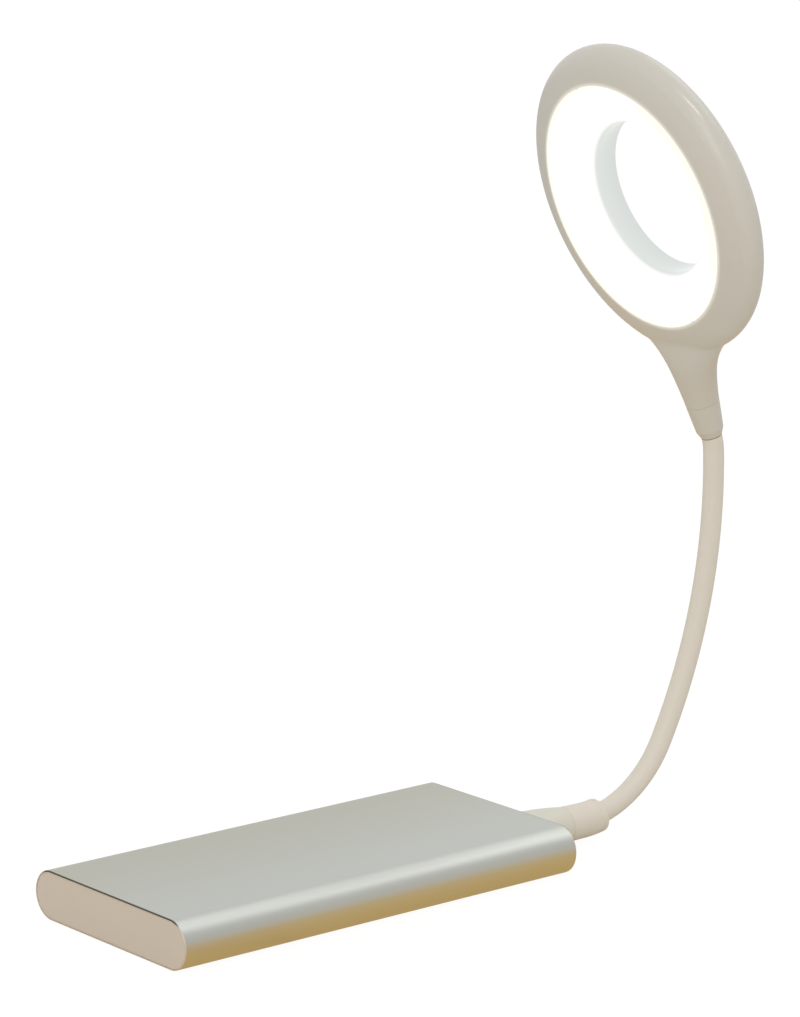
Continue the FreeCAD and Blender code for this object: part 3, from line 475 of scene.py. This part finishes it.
def tube_tree():
    """Geometry nodes that sweep a round section along a curve."""
    tree = bpy.data.node_groups.new("neck_tube", "GeometryNodeTree")
    tree.interface.new_socket("Geometry", in_out="OUTPUT", socket_type="NodeSocketGeometry")
    for name, kind in (("Geometry", "NodeSocketGeometry"), ("Radius", "NodeSocketFloat"),
                       ("Sides", "NodeSocketInt"), ("Capped", "NodeSocketBool"),
                       ("Finish", "NodeSocketMaterial")):
        tree.interface.new_socket(name, in_out="INPUT", socket_type=kind)

    def add(kind, links):
        made = tree.nodes.new(kind)
        for socket, source in links.items():
            tree.links.new(source, made.inputs[socket])
        return made

    given = add("NodeGroupInput", {}).outputs
    ring = add("GeometryNodeCurvePrimitiveCircle",
               {"Resolution": given["Sides"], "Radius": given["Radius"]})
    tube = add("GeometryNodeCurveToMesh", {"Curve": given["Geometry"], "Profile Curve": ring.outputs[0],
                                           "Fill Caps": given["Capped"]})
    smooth = add("GeometryNodeSetShadeSmooth", {"Geometry": tube.outputs[0]})
    real = add("GeometryNodeRealizeInstances", {"Geometry": smooth.outputs[0]})
    coloured = add("GeometryNodeSetMaterial", {"Geometry": real.outputs[0], "Material": given["Finish"]})
    add("NodeGroupOutput", {0: coloured.outputs[0]})
    return tree


TUBE_TREE = tube_tree()


def swept(name, curve, **sizes):
    """A plain mesh object: the curve swept round, with the tree's inputs set by their names."""
    modifier = curve.modifiers.new("tube", "NODES")
    modifier.node_group = TUBE_TREE
    for item in TUBE_TREE.interface.items_tree:
        if item.in_out == "INPUT" and item.name in sizes:
            modifier[item.identifier] = sizes[item.name]
    mesh = modified_mesh(curve)
    bpy.data.objects.remove(curve)
    mesh.name = name
    return placed(name, mesh)


def walled(piece, wall):
    """Gives an open tube its wall, inwards, and closes the wall's ends."""
    modifier = piece.modifiers.new("wall", "SOLIDIFY")
    modifier.thickness = wall
    modifier.offset = -1.0
    modifier.use_rim = True
    mesh = modified_mesh(piece)
    piece.modifiers.remove(modifier)
    piece.data = mesh
    mesh.set_sharp_from_angle(angle=SLEEVE_SHARP)


def neck_stretches():
    """Each neck joint with the stretch of the line that bends across it."""
    hinges = [j for j in frame["joints"] if j["name"].startswith("neck_")]
    pitch = (MOUTH_TOP - MOUTH_LOW) / len(hinges)
    for n, hinge in enumerate(hinges):
        low = MOUTH_LOW + n * pitch
        high = low + pitch
        start = 0.0 if n == 0 else low
        end = NECK_LENGTH if n == len(hinges) - 1 else high
        yield hinge, n + 1, start, end, neck_point(low), neck_point(high)


def neck_pieces():
    """A piece of sleeve and a pair of leads across each neck joint."""
    for hinge, n, start, end, low, high in neck_stretches():
        sleeve = swept("neck_sleeve_%d" % n, neck_curve(start, end, [0.0]), Radius=SLEEVE_RADIUS,
                       Sides=SLEEVE_SIDES, Capped=False, Finish=FINISHES["neck_skin"])
        walled(sleeve, SLEEVE_WALL)
        pair = neck_curve(start, min(end, MOUTH_TOP), [-LEAD_OFFSET, LEAD_OFFSET])
        leads = swept("neck_wires_%d" % n, pair, Radius=LEAD_RADIUS, Sides=LEAD_SIDES, Capped=True,
                      Finish=FINISHES["lead_cover"])
        for piece, node, slot in ((sleeve, "neck_sleeve", "neck_skin"),
                                  (leads, "neck_wires", "lead_cover")):
            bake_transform(piece)
            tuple(low)
            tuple(high)
            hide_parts(node)


neck_pieces()


# Camera, floor and light

def facing(right, back, place):
    """Matrix of a thing at a place, with its right and back directions given."""
    return Matrix.Translation(place) @ Matrix((right, back.cross(right), back)).transposed().to_4x4()


def camera():
    right = Vector((math.cos(CAMERA_AZIMUTH), math.sin(CAMERA_AZIMUTH), 0))
    level_back = Vector((math.sin(CAMERA_AZIMUTH), -math.cos(CAMERA_AZIMUTH), 0))
    back = level_back * math.cos(CAMERA_ELEVATION) + Vector((0, 0, math.sin(CAMERA_ELEVATION)))
    data = bpy.data.cameras.new("camera")
    data.sensor_fit = "VERTICAL"
    data.sensor_height = CAMERA_SENSOR
    data.lens = CAMERA_LENS
    data.clip_start = 0.01
    data.clip_end = 100.0
    made = placed("camera", data)
    made.matrix_world = facing(right, back, CAMERA_TARGET + back * CAMERA_DISTANCE)
    bpy.context.scene.camera = made


def floor():
    """Floor that the camera sees as white with a faint shadow, and that is warm in near reflections."""
    mesh = bpy.data.meshes.new("floor")
    corners = [(x * FLOOR_HALF, y * FLOOR_HALF, 0) for x, y in ((-1, -1), (1, -1), (1, 1), (-1, 1))]
    mesh.from_pydata(corners, [], [(0, 1, 2, 3)])
    made = placed("floor", mesh)
    made.location.z = -FLOOR_DROP
    material = bpy.data.materials.new("floor_white")
    material.use_nodes = True
    tree = material.node_tree
    tree.nodes.clear()

    def add(kind, *sources, **inputs):
        """A node's first output; its first inputs come from the sources, and others are set by name."""
        node = tree.nodes.new(kind)
        for source, socket in zip(sources, node.inputs):
            tree.links.new(source, socket)
        for name, value in inputs.items():
            node.inputs[name].default_value = value
        return node.outputs[0]

    pale = add("ShaderNodeBsdfDiffuse", Color=(0.70, 0.675, 0.635, 1.0))
    shadow = add("ShaderNodeBsdfDiffuse", Color=(0.10, 0.10, 0.10, 1.0))
    white = add("ShaderNodeEmission", Strength=0.94)
    seen = add("ShaderNodeAddShader", shadow, white)
    lit = add("ShaderNodeBsdfDiffuse", Color=(0.15, 0.105, 0.045, 1.0))
    tone = add("ShaderNodeEmission", Color=(0.82, 0.575, 0.235, 1.0), Strength=0.74)
    warm = add("ShaderNodeAddShader", lit, tone)
    reach = tree.nodes.new("ShaderNodeVectorMath")
    reach.operation = "LENGTH"
    tree.links.new(tree.nodes.new("ShaderNodeTexCoord").outputs["Object"], reach.inputs[0])
    far = add("ShaderNodeMapRange", reach.outputs["Value"], **WARM_REACH)
    mirrored = add("ShaderNodeMixShader", far, warm, pale)
    ray = tree.nodes.new("ShaderNodeLightPath").outputs
    shown = add("ShaderNodeMixShader", ray["Is Glossy Ray"], pale, mirrored)
    shown = add("ShaderNodeMixShader", ray["Is Camera Ray"], shown, seen)
    tree.links.new(shown, tree.nodes.new("ShaderNodeOutputMaterial").inputs["Surface"])
    mesh.materials.append(material)


def world():
    """Pale light from all round, weaker from the front and from overhead."""
    made = bpy.data.worlds.new("studio")
    bpy.context.scene.world = made
    made.use_nodes = True
    tree = made.node_tree
    ground = tree.nodes["Background"]
    ground.inputs["Color"].default_value = WORLD_COLOUR
    towards = tree.nodes.new("ShaderNodeTexCoord")
    parts = tree.nodes.new("ShaderNodeSeparateXYZ")
    tree.links.new(towards.outputs["Generated"], parts.inputs[0])
    strength = tree.nodes.new("ShaderNodeMath")
    strength.operation = "MULTIPLY"
    for factor, (axis, shares) in zip(strength.inputs, WORLD_SHARES):
        share = tree.nodes.new("ShaderNodeMapRange")
        for name, value in shares.items():
            share.inputs[name].default_value = value
        tree.links.new(parts.outputs[axis], share.inputs["Value"])
        tree.links.new(share.outputs[0], factor)
    tree.links.new(strength.outputs[0], ground.inputs["Strength"])


def softbox(name, place, target, size, power, colour, along=(0, 0, 1)):
    """Rectangle of light that faces target, with its height as near to the direction along as it can be."""
    data = bpy.data.lights.new(name, "AREA")
    data.shape = "RECTANGLE"
    data.size, data.size_y = size
    data.energy = power
    data.color = colour
    made = placed(name, data)
    back = (Vector(place) - Vector(target)).normalized()
    made.matrix_world = facing(Vector(along).cross(back).normalized(), back, place)
    return made


def lights():
    """Two soft lights, and a slim one that shows only in reflections, as the streak on the ring."""
    middle = (0.05, 0.0, 0.05)
    streak = (0.113, -0.04, 0.232)
    streak_along = (0.205, -0.305, -0.103)
    softbox("shoulder", (0.86, -0.02, 1.05), middle, (1.1, 0.6), 2.4, (0.98, 1.0, 1.0))
    softbox("left_front", (-1.0, -1.1, 0.9), middle, (1.0, 1.0), 7.0, (1.0, 0.985, 0.96))
    gloss = softbox("gloss", (-0.17, -0.57, 1.25), streak, (0.16, 0.42), 3.2, (1.0, 1.0, 1.0), streak_along)
    gloss.visible_diffuse = False


camera()
floor()
world()
lights()
bpy.context.scene.view_settings.view_transform = "Standard"
